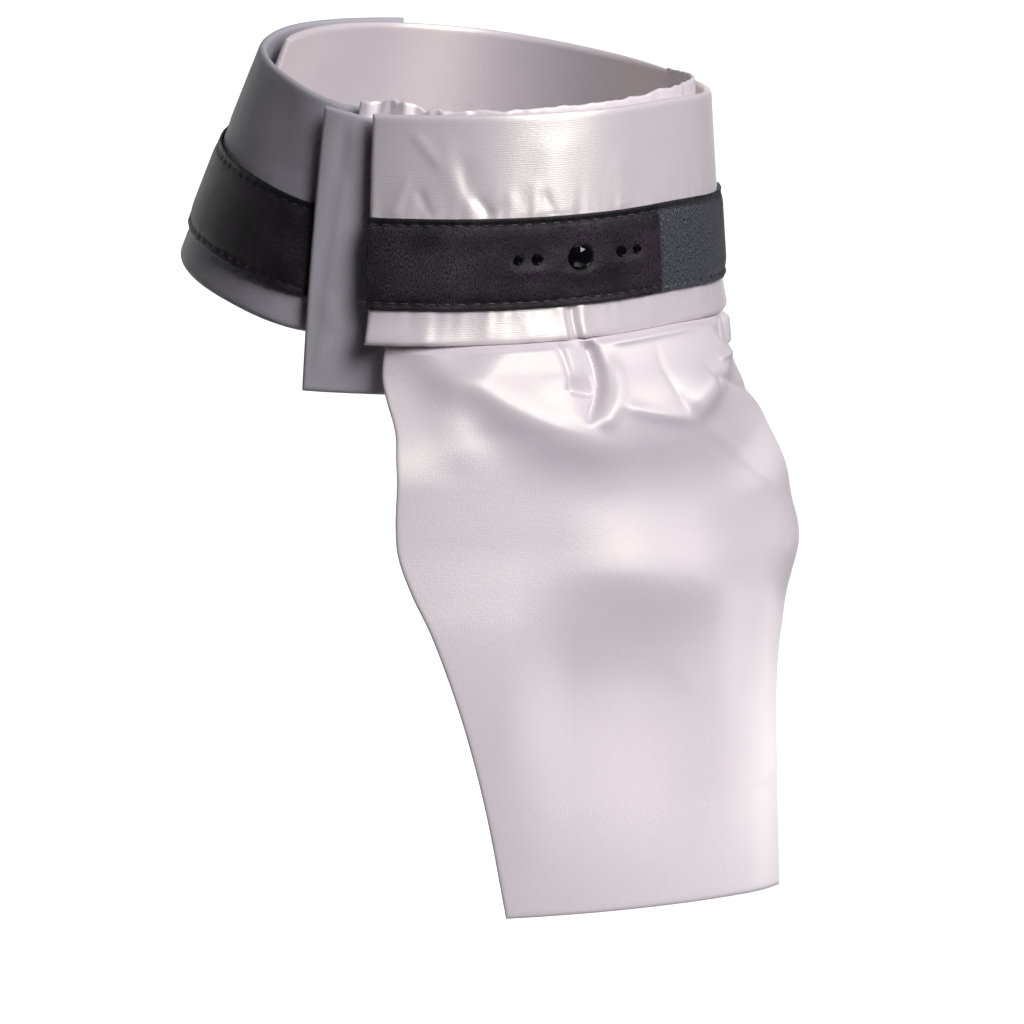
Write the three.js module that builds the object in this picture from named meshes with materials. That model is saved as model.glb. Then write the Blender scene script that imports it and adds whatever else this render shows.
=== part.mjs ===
// A ready-tied riding cravat: a stand-up collar band in two lengths that close at the back, a black
// ribbon sewn round it with five cut stones at the front, a soft lining cloth, and a satin bib that
// hangs from behind the front of the band.
//
// Millimetres and degrees. The origin is the middle of the neck opening, half way up the band.
// -Y is the wearer's front and +X the wearer's left. "angle" runs round the neck from the front (0)
// towards the wearer's left, and "up" is a height above the band's middle line, along the neck.
import * as THREE from 'three';

// Driving dimensions.
const NECK_LEAN = 9;
const BAND_HEIGHT = 50;
const BAND_WALL = 2;
const CLOTH_WALL = 1.2;
const FLAP_WALL = 1.6;
const CLEAR = 0.3;

const RIBBON_HEIGHT = 20;
const RIBBON_WALL = 1;
const RIBBON_MIDDLE = -7.4;

const BAND_STEP = 5;
const HALF = BAND_HEIGHT / 2;

// The over band's outer face: its mean radius, how far it closes in for each millimetre of height,
// and the height of its middle line, at stations round the neck.
const OVER_BAND = {
  angle: [-72, -60, -40, -20, 0, 20, 45, 75, 110, 150, 190, 230],
  radius: [60.1, 59.8, 59.4, 58.9, 58.4, 57.7, 56.6, 55.2, 54.4, 53.4, 52.2, 51.6],
  closing: [0.19, 0.16, 0.14, 0.115, 0.1, 0.11, 0.14, 0.17, 0.2, 0.23, 0.25, 0.27],
  middle: [-2.6, -1.8, 0.3, 2.1, 3.5, 4.1, 2, -0.6, -0.8, 0.6, 2, 2.4],
};

// The under band: the same, from the lapped end at the back to the end hidden behind the front.
const UNDER_BAND = {
  angle: [-190, -165, -140, -110, -90, -70, -62, -54, -44, -25],
  radius: [55.4, 55.4, 55.6, 57.3, 57.4, 56.2, 53.6, 52.3, 51.7, 52.1],
  closing: [0.25, 0.28, 0.3, 0.29, 0.26, 0.2, 0.17, 0.155, 0.145, 0.12],
  middle: [2, 2.6, 3.2, 2.4, 0.9, -1.5, -2, -2.2, -2.3, -2.4],
};

// The over band's free end at the wearer's right front is cut upright, so it slants on the leaning neck.
const OVER_START = -53.2;
const OVER_START_SLANT = -0.12;
const OVER_END = 230;
const UNDER_START = -190;
const UNDER_END = -25;

// The lining shows as a crumpled rim above the band and hangs below it. "inward" is the depth of its
// outer face behind the over band's outer face, and "kick" how far its lower edge turns out.
const LINING = {
  angle: [-62, -56, -50, -44, -30, -12, 10, 30, 48, 52, 58, 70, 80],
  inward: [4.3, 5.2, 5.7, 5.9, 4.8, 3.9, 3.8, 3.8, 3.8, 3.8, 3.8, 3.8, 3.8],
  top: [26.5, 27.4, 26.4, 25.4, 25, 25.4, 25.6, 26.6, 27.2, 27.2, 27.4, 27, 26.4],
  bottom: [-31, -32, -32, -31, -30, -30, -30, -32, -33.6, -33.8, -34, -33.6, -33],
  kick: [0, 0, 0, 0, 0, 0, 0, 0, 0, 1.2, 4.8, 4.4, 2.4],
};
const LINING_KICK_REACH = 7;

// The folded side flap that shows beside the over band's free end.
const FLAP = {
  angle: [-70, -66, -62, -54, -44],
  inward: [0.8, 1.4, 2.3, 3.6, 3.9],
  top: [25.6, 25.2, 24.6, 23, 22],
};
const FLAP_START = -67.3;
const FLAP_START_SLANT = -0.105;
const FLAP_END = -44;
const FLAP_BOTTOM = -36.8;

// The bib hangs from inside the over band's lower edge. "drop" is measured down from that edge,
// "forward" is how far the middle comes away from it, "bend" the radius of a row across the chest,
// and "left" and "right" the edges as lengths from the middle, seen from the front.
const BIB = {
  drop: [0, 3, 8, 13, 17, 20, 24, 32, 40, 46, 54, 62, 72, 84, 100, 124],
  forward: [0, 3.2, 4.5, 6, 7.2, 8, 9, 10.2, 11.5, 12.5, 14.2, 15.9, 17.6, 19.4, 21.6, 24.8],
  bend: [57, 76, 92, 100, 104, 106, 108, 110, 112, 114, 116, 118, 120, 122, 124, 126],
  left: [48, 49.2, 50.4, 50.7, 50.7, 51, 52, 53, 54, 54, 52, 49, 46, 43, 40, 37],
  right: [49.5, 47, 44, 44, 45.5, 49, 49.3, 49.2, 50, 51.5, 50, 48, 43.8, 41, 39.3, 37.3],
};
const BIB_TUCK = 12;
const BIB_SEAM_DROP = 0.5;
const BIB_HEM = 124;
const BIB_SETTLE = 32;
const BIB_ROLL = 2;
const BIB_ROLL_WIDTH = 12;
const BIB_ROLL_FROM = 20;
const FOLD_FADE = 2.5;

// Folds in the bib, as ridges along a bent line from start through middle to end. Each point is
// [across, drop]; "rise" is its height, "left" and "right" its widths to the left and right of someone
// walking from start to end, and "ends" the share of its length over which each end fades.
const FOLDS = [
  { start: [-37, 1], middle: [-26, 21], end: [6, 25], rise: 4, left: 12, right: 6.5, ends: [0.25, 0.4] },
  { start: [-16, 22], middle: [14, 14.5], end: [60, 12], rise: 4.8, left: 12, right: 11, ends: [0.4, 0.5] },
  { start: [-22, 50], middle: [4, 51], end: [38, 58], rise: 2.9, left: 14, right: 8.5, ends: [0.45, 0.35] },
  { start: [-34, 73], middle: [-4, 77], end: [26, 80], rise: -3.2, left: 15, right: 28, ends: [0.3, 0.45] },
  { start: [46, 22], middle: [53, 40], end: [50, 64], rise: 3.5, left: 6, right: 15, ends: [0.35, 0.35] },
  { start: [-5, -1], middle: [-4, 10], end: [-11, 19], rise: -1.8, left: 2.6, right: 3, ends: [0.05, 0.4] },
  { start: [-12, -1], middle: [-12, 7], end: [-14, 16], rise: 1, left: 3, right: 5, ends: [0.05, 0.4] },
  { start: [15, -1], middle: [12, 15], end: [20, 24], rise: 1.4, left: 9, right: 3, ends: [0.05, 0.35] },
  { start: [40, 7], middle: [28, 13], end: [14, 22], rise: 1.2, left: 3, right: 6, ends: [0.15, 0.35] },
  { start: [-38, -1], middle: [-36, 14], end: [-40, 30], rise: 1.2, left: 5, right: 6, ends: [0.05, 0.4] },
];
const FOLD_PARTS = 12;

// The five stones lie on the ribbon, symmetric about the ornament's middle.
const ORNAMENT_ANGLE = -7.3;
const ORNAMENT_UP = -6.4;
const STONES = [
  { name: 'stone_small_right', turn: -13.6, diameter: 2.2, height: 1.1, facets: 8 },
  { name: 'stone_medium_right', turn: -9.6, diameter: 2.7, height: 1.3, facets: 8 },
  { name: 'stone_centre', turn: 0, diameter: 6, height: 2.4, facets: 12 },
  { name: 'stone_medium_left', turn: 9.8, diameter: 2.7, height: 1.3, facets: 8 },
  { name: 'stone_small_left', turn: 14, diameter: 2.2, height: 1.1, facets: 8 },
];
const TABLE_SHARE = 0.58;
const GIRDLE_SHARE = 0.3;

// The closing patch between the lapped ends at the back.
const PATCH_FROM = 178;
const PATCH_TO = 222;
const PATCH_HALF = 13;

// Materials.
const satin = new THREE.MeshStandardMaterial({ color: 0xece7ea, roughness: 0.35, metalness: 0 });
const lapped = new THREE.MeshStandardMaterial({ color: 0xd9d5da, roughness: 0.55, metalness: 0 });
const lining = new THREE.MeshStandardMaterial({ color: 0xdedadf, roughness: 0.5, metalness: 0 });
const ribbon = new THREE.MeshStandardMaterial({ color: 0x24242a, roughness: 0.5, metalness: 0 });
const glass = new THREE.MeshStandardMaterial({ color: 0x0b0b10, roughness: 0.05, metalness: 0 });
const hook = new THREE.MeshStandardMaterial({ color: 0xe6e4e2, roughness: 0.9, metalness: 0 });

// Directions of the leaning neck.
const lean = THREE.MathUtils.degToRad(NECK_LEAN);
const NECK_AXIS = new THREE.Vector3(0, -Math.sin(lean), Math.cos(lean));
const NECK_FRONT = new THREE.Vector3(0, -Math.cos(lean), -Math.sin(lean));
const SIDE = new THREE.Vector3(1, 0, 0);

function smooth(t) {
  const c = THREE.MathUtils.clamp(t, 0, 1);
  return c * c * (3 - 2 * c);
}

// A smooth curve through one column of a table, read at a value of its first column.
function read(table, column, at) {
  const keys = Object.values(table)[0];
  const values = table[column];
  const last = keys.length - 1;
  const x = THREE.MathUtils.clamp(at, keys[0], keys[last]);
  let i = 0;
  while (i < last - 1 && x >= keys[i + 1]) i += 1;
  const slope = (k) => (values[k + 1] - values[k]) / (keys[k + 1] - keys[k]);
  const slopeIn = i === 0 ? slope(0) : (slope(i - 1) + slope(i)) / 2;
  const slopeOut = i === last - 1 ? slope(i) : (slope(i) + slope(i + 1)) / 2;
  const width = keys[i + 1] - keys[i];
  const t = (x - keys[i]) / width;
  const t2 = t * t;
  const t3 = t2 * t;
  return (2 * t3 - 3 * t2 + 1) * values[i] + (t3 - 2 * t2 + t) * width * slopeIn
    + (3 * t2 - 2 * t3) * values[i + 1] + (t3 - t2) * width * slopeOut;
}

function onNeck(angle, height, radius) {
  const a = THREE.MathUtils.degToRad(angle);
  return NECK_AXIS.clone().multiplyScalar(height)
    .addScaledVector(SIDE, radius * Math.sin(a))
    .addScaledVector(NECK_FRONT, radius * Math.cos(a));
}

// A point of a band at a height above its middle line and a depth behind its outer face.
function onBand(table, angle, up, inward) {
  const radius = read(table, 'radius', angle) - read(table, 'closing', angle) * up - inward;
  return onNeck(angle, read(table, 'middle', angle) + up, radius);
}

// The radius of a band's outer face at an absolute height.
function bandRadius(table, angle, height) {
  const up = height - read(table, 'middle', angle);
  return read(table, 'radius', angle) - read(table, 'closing', angle) * up;
}

function mix(a, b, t) {
  return a + (b - a) * t;
}

function spread(from, to, parts) {
  return Array.from({ length: parts + 1 }, (_, i) => mix(from, to, i / parts));
}

// A closed wall between two faces, each a function of a column and a row value.
function wall(name, columns, rows, front, back, material) {
  const wide = columns.length;
  const tall = rows.length;
  const points = [];
  for (const face of [front, back]) {
    for (const row of rows) {
      for (const column of columns) points.push(face(column, row));
    }
  }
  const id = (side, r, c) => side * wide * tall + r * wide + c;
  const faces = [];
  const quad = (a, b, c, d) => faces.push(a, b, c, a, c, d);
  for (let r = 0; r < tall - 1; r += 1) {
    for (let c = 0; c < wide - 1; c += 1) {
      quad(id(0, r, c), id(0, r, c + 1), id(0, r + 1, c + 1), id(0, r + 1, c));
      quad(id(1, r, c), id(1, r + 1, c), id(1, r + 1, c + 1), id(1, r, c + 1));
    }
  }
  for (let c = 0; c < wide - 1; c += 1) {
    quad(id(0, 0, c), id(1, 0, c), id(1, 0, c + 1), id(0, 0, c + 1));
    quad(id(0, tall - 1, c), id(0, tall - 1, c + 1), id(1, tall - 1, c + 1), id(1, tall - 1, c));
  }
  for (let r = 0; r < tall - 1; r += 1) {
    quad(id(0, r, 0), id(0, r + 1, 0), id(1, r + 1, 0), id(1, r, 0));
    quad(id(0, r, wide - 1), id(1, r, wide - 1), id(1, r + 1, wide - 1), id(0, r + 1, wide - 1));
  }
  if (volumeOf(points, faces) < 0) faces.reverse();
  const geometry = new THREE.BufferGeometry().setFromPoints(points);
  geometry.setIndex(faces);
  geometry.computeVertexNormals();
  const mesh = new THREE.Mesh(geometry, material);
  mesh.name = name;
  return mesh;
}

function volumeOf(points, faces) {
  let sum = 0;
  const cross = new THREE.Vector3();
  for (let i = 0; i < faces.length; i += 3) {
    cross.crossVectors(points[faces[i + 1]], points[faces[i + 2]]);
    sum += points[faces[i]].dot(cross);
  }
  return sum / 6;
}

function overStart(up) {
  return OVER_START + OVER_START_SLANT * up;
}

// The two bands and the ribbon on each.
function overBandFace(inward) {
  return (share, up) => onBand(OVER_BAND, mix(overStart(up), OVER_END, share), up, inward);
}

function underBandFace(inward) {
  return (share, up) => onBand(UNDER_BAND, mix(UNDER_START, UNDER_END, share), up, inward);
}

const overColumns = spread(0, 1, Math.round((OVER_END - OVER_START) / BAND_STEP));
const underColumns = spread(0, 1, Math.round((UNDER_END - UNDER_START) / BAND_STEP));
const bandRows = spread(-HALF, HALF, 6);
const ribbonRows = spread(RIBBON_MIDDLE - RIBBON_HEIGHT / 2, RIBBON_MIDDLE + RIBBON_HEIGHT / 2, 2);
const RIBBON_INNER = -CLEAR;
const RIBBON_OUTER = -CLEAR - RIBBON_WALL;

const overBand = wall('over_band', overColumns, bandRows, overBandFace(0), overBandFace(BAND_WALL), satin);
const underBand = wall(
  'under_band', underColumns, bandRows, underBandFace(0), underBandFace(BAND_WALL), lapped,
);

// The over band's ribbon stops where the under band laps over it at the back. The under band's runs
// from that end to just behind the side flap's edge.
const OVER_RIBBON_END = 167;
const UNDER_RIBBON_START = -189;
const UNDER_RIBBON_END = -66.6;
function overRibbonFace(inward) {
  return (share, up) => onBand(OVER_BAND, mix(overStart(up), OVER_RIBBON_END, share), up, inward);
}
function underRibbonFace(inward) {
  return (share, up) => {
    const end = UNDER_RIBBON_END + FLAP_START_SLANT * up;
    return onBand(UNDER_BAND, mix(UNDER_RIBBON_START, end, share), up, inward);
  };
}
const overRibbon = wall(
  'over_ribbon', spread(0, 1, Math.round((OVER_RIBBON_END - OVER_START) / BAND_STEP)), ribbonRows,
  overRibbonFace(RIBBON_OUTER), overRibbonFace(RIBBON_INNER), ribbon,
);
const underRibbon = wall(
  'under_ribbon', spread(0, 1, Math.round((UNDER_RIBBON_END - UNDER_RIBBON_START) / BAND_STEP)), ribbonRows,
  underRibbonFace(RIBBON_OUTER), underRibbonFace(RIBBON_INNER), ribbon,
);

// The lining cloth behind the front, turned out at its lower edge on the wearer's left.
function liningFace(depth) {
  return (angle, share) => {
    const height = mix(read(LINING, 'bottom', angle), read(LINING, 'top', angle), share)
      + read(OVER_BAND, 'middle', angle);
    const below = read(OVER_BAND, 'middle', angle) - HALF - height;
    const kick = read(LINING, 'kick', angle) * smooth(below / LINING_KICK_REACH);
    const radius = bandRadius(OVER_BAND, angle, height) - read(LINING, 'inward', angle) + kick - depth;
    return onNeck(angle, height, radius);
  };
}
const liningRows = [0, 0.05, 0.1, 0.15, 0.3, 0.5, 0.7, 0.9, 1];
const liningCloth = wall(
  'lining_cloth', spread(-62, 80, 36), liningRows, liningFace(0), liningFace(CLOTH_WALL), lining,
);

// The side flap in front of the lining and behind the over band's free end.
function flapFace(depth) {
  return (share, level) => {
    const guess = mix(FLAP_START, FLAP_END, share);
    const up = mix(FLAP_BOTTOM, read(FLAP, 'top', guess), level);
    const angle = mix(FLAP_START + FLAP_START_SLANT * up, FLAP_END, share);
    return onBand(OVER_BAND, angle, up, read(FLAP, 'inward', angle) + depth);
  };
}
const sideFlap = wall(
  'side_flap', spread(0, 1, 8), spread(0, 1, 7), flapFace(0), flapFace(FLAP_WALL), lining,
);

// The bib. Its smooth form first: a cone behind the band, then rows that settle into the chest's bend.
const BIB_INWARD = BAND_WALL + CLEAR;
function bibForm(across, drop) {
  if (drop <= 0) return onBand(OVER_BAND, across, -HALF - BIB_SEAM_DROP - drop, BIB_INWARD);
  const middle = onBand(OVER_BAND, 0, -HALF - BIB_SEAM_DROP, BIB_INWARD);
  const edge = onBand(OVER_BAND, across, -HALF - BIB_SEAM_DROP, BIB_INWARD).sub(middle);
  const bend = read(BIB, 'bend', drop);
  const turn = across / bend;
  const rolled = Math.max(0, across - read(BIB, 'right', drop) + BIB_ROLL_WIDTH) / BIB_ROLL_WIDTH;
  const roll = BIB_ROLL * rolled * rolled * smooth((drop - BIB_ROLL_FROM) / BIB_ROLL_FROM);
  const row = new THREE.Vector3(bend * Math.sin(turn), bend * (1 - Math.cos(turn)) + roll, 0);
  const hang = new THREE.Vector3(0, -read(BIB, 'forward', drop), -drop);
  return middle.add(hang).add(edge.lerp(row, smooth(drop / BIB_SETTLE)));
}

function bibNormal(across, drop) {
  const step = 0.5;
  const sideways = bibForm(across + step, drop).sub(bibForm(across - step, drop));
  const down = bibForm(across, drop + step).sub(bibForm(across, drop - step));
  return down.cross(sideways).normalize();
}

// The height of one fold at a point of the bib.
function foldRise(fold, across, drop) {
  const [sx, sy] = fold.start;
  const [mx, my] = fold.middle;
  const [ex, ey] = fold.end;
  const place = (t) => [
    (1 - t) * (1 - t) * sx + 2 * t * (1 - t) * mx + t * t * ex,
    (1 - t) * (1 - t) * sy + 2 * t * (1 - t) * my + t * t * ey,
  ];
  let best = { distance: Infinity, share: 0, side: 0 };
  for (let i = 0; i < FOLD_PARTS; i += 1) {
    const [ax, ay] = place(i / FOLD_PARTS);
    const [bx, by] = place((i + 1) / FOLD_PARTS);
    const dx = bx - ax;
    const dy = by - ay;
    const t = THREE.MathUtils.clamp(((across - ax) * dx + (drop - ay) * dy) / (dx * dx + dy * dy), 0, 1);
    const ox = across - ax - t * dx;
    const oy = drop - ay - t * dy;
    const distance = Math.hypot(ox, oy);
    if (distance < best.distance) best = { distance, share: (i + t) / FOLD_PARTS, side: dx * oy - dy * ox };
  }
  const width = best.side < 0 ? fold.left : fold.right;
  const [fadeIn, fadeOut] = fold.ends;
  const along = smooth(best.share / fadeIn) * smooth((1 - best.share) / fadeOut);
  return fold.rise * along * Math.exp(-((best.distance / width) ** 2));
}

function bibFace(depth) {
  return (share, drop) => {
    const across = mix(-read(BIB, 'left', drop), read(BIB, 'right', drop), share);
    const rise = FOLDS.reduce((sum, fold) => sum + foldRise(fold, across, drop), 0);
    const height = rise * smooth(drop / FOLD_FADE) - depth;
    return bibForm(across, drop).addScaledVector(bibNormal(across, drop), height);
  };
}
const bibRows = [
  -BIB_TUCK, -6, 0, 1.5, 3, 4.5, 6, 7.5, 9, 10.5, 12, 13.5, 15.5, 17.5, 19.5,
  21.5, 23.5, 26, 28.5, 31, 34, 37, 40, 43, 46, 49, 52, 56, 60, 65, 70, 76, 83, 91, 100, 111, BIB_HEM,
];
const bib = wall('bib', spread(0, 1, 38), bibRows, bibFace(0), bibFace(CLOTH_WALL), satin);

// The closing patch fills the lap between the over band inside and the under band outside.
function patchFace(outer) {
  return (angle, height) => {
    const radius = outer
      ? bandRadius(UNDER_BAND, angle - 360, height) - BAND_WALL - CLEAR
      : bandRadius(OVER_BAND, angle, height) + CLEAR;
    return onNeck(angle, height, radius);
  };
}
const backFastener = wall(
  'back_fastener', spread(PATCH_FROM, PATCH_TO, 8), spread(-PATCH_HALF, PATCH_HALF, 2),
  patchFace(true), patchFace(false), hook,
);

// A flat-backed cut stone: its girdle, a ring of crown facets and a table.
function stone({ name, turn, diameter, height, facets }) {
  const radius = diameter / 2;
  const profile = [
    new THREE.Vector2(0, 0),
    new THREE.Vector2(radius, 0),
    new THREE.Vector2(radius, height * GIRDLE_SHARE),
    new THREE.Vector2(radius * TABLE_SHARE, height),
    new THREE.Vector2(0, height),
  ];
  const mesh = new THREE.Mesh(new THREE.LatheGeometry(profile, facets), glass);
  mesh.name = name;
  const angle = ORNAMENT_ANGLE + turn;
  const seat = onBand(OVER_BAND, angle, ORNAMENT_UP, RIBBON_OUTER - CLEAR);
  const beside = onBand(OVER_BAND, angle + 1, ORNAMENT_UP, RIBBON_OUTER - CLEAR).sub(seat);
  const above = onBand(OVER_BAND, angle, ORNAMENT_UP + 1, RIBBON_OUTER - CLEAR).sub(seat);
  const outward = beside.cross(above).normalize();
  mesh.position.copy(seat);
  mesh.quaternion.setFromUnitVectors(new THREE.Vector3(0, 1, 0), outward);
  return mesh;
}

const group = new THREE.Group();
group.add(overBand, underBand, overRibbon, underRibbon, liningCloth, sideFlap, bib, backFastener);
group.add(...STONES.map(stone));

export default group;
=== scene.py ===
import math

import bmesh
import bpy
import numpy as np
from mathutils import Matrix, Vector


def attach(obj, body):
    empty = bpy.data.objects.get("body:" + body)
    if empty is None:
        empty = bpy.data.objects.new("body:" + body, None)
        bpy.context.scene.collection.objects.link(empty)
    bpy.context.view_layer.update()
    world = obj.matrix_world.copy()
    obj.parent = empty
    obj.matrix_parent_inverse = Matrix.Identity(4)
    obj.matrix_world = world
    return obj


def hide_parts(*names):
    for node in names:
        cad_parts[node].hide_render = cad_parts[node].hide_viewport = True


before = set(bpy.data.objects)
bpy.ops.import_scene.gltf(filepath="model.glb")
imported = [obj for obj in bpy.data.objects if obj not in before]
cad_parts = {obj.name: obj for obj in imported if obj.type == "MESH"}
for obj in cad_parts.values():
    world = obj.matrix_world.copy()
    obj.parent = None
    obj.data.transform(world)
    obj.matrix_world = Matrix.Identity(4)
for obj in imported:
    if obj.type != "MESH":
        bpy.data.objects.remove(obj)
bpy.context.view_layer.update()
scene = bpy.context.scene

# The camera stands on the wearer's right, a little above the collar, with a long lens, so that the
# collar's curve falls away gently on both sides.
CAMERA_AZIMUTH = math.radians(-32)
CAMERA_RISE = math.radians(7.5)
CAMERA_DISTANCE = 1.5
CAMERA_LENS = 233.09
CAMERA_SENSOR = 36
CAMERA_NEAR = 0.1
CAMERA_FAR = 50
AIM_RIGHT = 0.0095
AIM_UP = -0.07557

camera_back = Vector((
    math.sin(CAMERA_AZIMUTH) * math.cos(CAMERA_RISE),
    -math.cos(CAMERA_AZIMUTH) * math.cos(CAMERA_RISE),
    math.sin(CAMERA_RISE),
))
camera_right = Vector((math.cos(CAMERA_AZIMUTH), math.sin(CAMERA_AZIMUTH), 0))
camera_up = camera_back.cross(camera_right)
camera_aim = camera_right * AIM_RIGHT + camera_up * AIM_UP
camera_data = bpy.data.cameras.new("camera")
camera_data.lens = CAMERA_LENS
camera_data.sensor_width = CAMERA_SENSOR
camera_data.clip_start = CAMERA_NEAR
camera_data.clip_end = CAMERA_FAR
camera = bpy.data.objects.new("camera", camera_data)
camera.matrix_world = Matrix.Translation(camera_aim + camera_back * CAMERA_DISTANCE) @ Matrix(
    (camera_right, camera_up, camera_back)
).transposed().to_4x4()
scene.collection.objects.link(camera)
scene.camera = camera
scene.view_settings.view_transform = "Standard"

# The studio is one pale painted sheet, floor and backdrop in a curve. A large soft box hangs high
# in front, a little to the wearer's left, a small strip box on that side grazes the bib's edge, and
# two more boxes behind the cravat light the backdrop.
FLOOR_HEIGHT = -0.9
FLOOR_FRONT = -3.0
FLOOR_BACK = 1.1
STUDIO_HALF = 3.0
SWEEP_RADIUS = 0.6
BACKDROP_TOP = 2.4
SWEEP_PARTS = 24
KEY_POWER = 3.4
KEY_WIDTH = 0.7
KEY_HEIGHT = 1.0
KEY_SPREAD = math.radians(60)
KEY_AZIMUTH = math.radians(6)
KEY_RISE = math.radians(35)
KEY_DISTANCE = 1.35
KEY_AIM = Vector((0, 0, -0.05))
SIDE_POWER = 0.017
SIDE_WIDTH = 0.22
SIDE_HEIGHT = 0.05
SIDE_SPREAD = math.radians(14)
SIDE_PLACE = (0.58, -0.2, -0.135)
SIDE_AIM = (0.03, -0.07, -0.135)
BACKDROP_POWER = 9
BACKDROP_LAMP_SIDE = 0.7
BACKDROP_SPREAD = math.radians(110)
# The two backdrop lamps, as (name, place, aim).
BACKDROP_LAMPS = [
    ("right_backdrop_lamp", (-0.2, 0.5, 0.7), (0.4, 1.5, -0.3)),
    ("left_backdrop_lamp", (1.4, 0.5, 0.7), (1.1, 1.5, -0.3)),
]
ROOM_LIGHT = 0.02
PAINT_MOTTLE = 333.3
MM = 0.001


def per_metre(size):
    """How many of a size in mm go into a metre, which is a texture's scale."""
    return 1 / (size * MM)


def add(tree, kind, sockets, **settings):
    """One node with its settings. A socket gets a value, or a link from another node's output."""
    node = tree.nodes.new(kind)
    for name, value in settings.items():
        setattr(node, name, value)
    for name, value in sockets.items():
        if isinstance(value, bpy.types.NodeSocket):
            tree.links.new(value, node.inputs[name])
        else:
            node.inputs[name].default_value = value
    return node


def new_material(name):
    """An empty node material and its tree."""
    material = bpy.data.materials.new(name)
    material.use_nodes = True
    material.node_tree.nodes.clear()
    return material, material.node_tree


# Matt studio paint, rolled: pale, with hardly a trace of roller texture. Only the face towards the
# cravat is painted, and the other is clear, so that a camera behind the sheet sees the cravat too.
studio_paint, tree = new_material("matt studio paint")
object_place = add(tree, "ShaderNodeTexCoord", {})
mottle = add(tree, "ShaderNodeTexNoise", {
    "Vector": object_place.outputs["Object"], "Scale": per_metre(PAINT_MOTTLE),
})
grey = add(tree, "ShaderNodeMapRange", {"Value": mottle.outputs[0], "To Min": 0.93, "To Max": 0.95})
shader = add(tree, "ShaderNodeBsdfPrincipled", {"Roughness": 0.9, "Base Color": grey.outputs[0]})
sheet_side = add(tree, "ShaderNodeNewGeometry", {})
clear = add(tree, "ShaderNodeBsdfTransparent", {})
painted = add(tree, "ShaderNodeMixShader", {
    0: sheet_side.outputs["Backfacing"], 1: shader.outputs[0], 2: clear.outputs[0],
})
add(tree, "ShaderNodeOutputMaterial", {"Surface": painted.outputs[0]})

profile = [(FLOOR_FRONT, FLOOR_HEIGHT)]
for i in range(SWEEP_PARTS + 1):
    turn = math.pi / 2 * i / SWEEP_PARTS
    profile.append((
        FLOOR_BACK + SWEEP_RADIUS * math.sin(turn),
        FLOOR_HEIGHT + SWEEP_RADIUS * (1 - math.cos(turn)),
    ))
profile.append((FLOOR_BACK + SWEEP_RADIUS, BACKDROP_TOP))
corners = [(side * STUDIO_HALF, y, z) for y, z in profile for side in (-1, 1)]
strips = [(2 * i, 2 * i + 1, 2 * i + 3, 2 * i + 2) for i in range(len(profile) - 1)]
studio_mesh = bpy.data.meshes.new("studio_sheet")
studio_mesh.from_pydata(corners, [], strips)
studio_mesh.polygons.foreach_set("use_smooth", [True] * len(strips))
studio_mesh.materials.append(studio_paint)
studio_sheet = bpy.data.objects.new("studio_sheet", studio_mesh)
scene.collection.objects.link(studio_sheet)


def soft_lamp(name, power, width, height, spread, place, aim):
    """A soft box at a place, turned to a point."""
    lamp = bpy.data.lights.new(name, "AREA")
    lamp.shape = "RECTANGLE"
    lamp.energy = power
    lamp.size = width
    lamp.size_y = height
    lamp.spread = spread
    holder = bpy.data.objects.new(name, lamp)
    holder.location = place
    holder.rotation_euler = (Vector(aim) - Vector(place)).to_track_quat("-Z", "Y").to_euler()
    holder.visible_camera = False
    scene.collection.objects.link(holder)


key_place = KEY_AIM + KEY_DISTANCE * Vector((
    math.sin(KEY_AZIMUTH) * math.cos(KEY_RISE),
    -math.cos(KEY_AZIMUTH) * math.cos(KEY_RISE),
    math.sin(KEY_RISE),
))
soft_lamp("key_lamp", KEY_POWER, KEY_WIDTH, KEY_HEIGHT, KEY_SPREAD, key_place, KEY_AIM)
soft_lamp("side_lamp", SIDE_POWER, SIDE_WIDTH, SIDE_HEIGHT, SIDE_SPREAD, SIDE_PLACE, SIDE_AIM)
for name, place, aim in BACKDROP_LAMPS:
    soft_lamp(
        name, BACKDROP_POWER, BACKDROP_LAMP_SIDE, BACKDROP_LAMP_SIDE, BACKDROP_SPREAD, place, aim,
    )
world = bpy.data.worlds.new("room")
world.use_nodes = True
world.node_tree.nodes["Background"].inputs["Color"].default_value = [ROOM_LIGHT] * 3 + [1]
scene.world = world

# The over band is the outer length of the collar: polyester satin folded double over a firm core
# and pressed. It starts at its free end, at the wearer's right front, runs round past the wearer's
# left, and laps under the other length at the back. The sewing of the ribbon puckers it.
COLLAR_LEAN = math.radians(9)
COLLAR_AXIS = np.array([0, -math.sin(COLLAR_LEAN), math.cos(COLLAR_LEAN)])
COLLAR_FRONT = np.array([0, -math.cos(COLLAR_LEAN), -math.sin(COLLAR_LEAN)])
COLLAR_SIDE = np.array([1.0, 0, 0])
BAND_HALF = 25
BAND_WALL = 1.9
BAND_RIM = 1.2
OVER_BAND = {
    "angle": [-72, -60, -40, -20, 0, 20, 45, 75, 110, 150, 190, 230],
    "radius": [60.1, 59.8, 59.4, 58.9, 58.4, 57.7, 56.6, 55.2, 54.4, 53.4, 52.2, 51.6],
    "closing": [0.19, 0.16, 0.14, 0.115, 0.1, 0.11, 0.14, 0.17, 0.2, 0.23, 0.25, 0.27],
    "middle": [-2.6, -1.8, 0.3, 2.1, 3.5, 4.1, 2, -0.6, -0.8, 0.6, 2, 2.4],
}
OVER_START = -53.2
OVER_START_SLANT = -0.12
OVER_END = 230
OVER_FRONT_END = 60
OVER_COLUMNS = (210, 110)
OVER_ROWS = (78,)
RIBBON_MIDDLE = -7.4
RIBBON_HALF = 10

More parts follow.
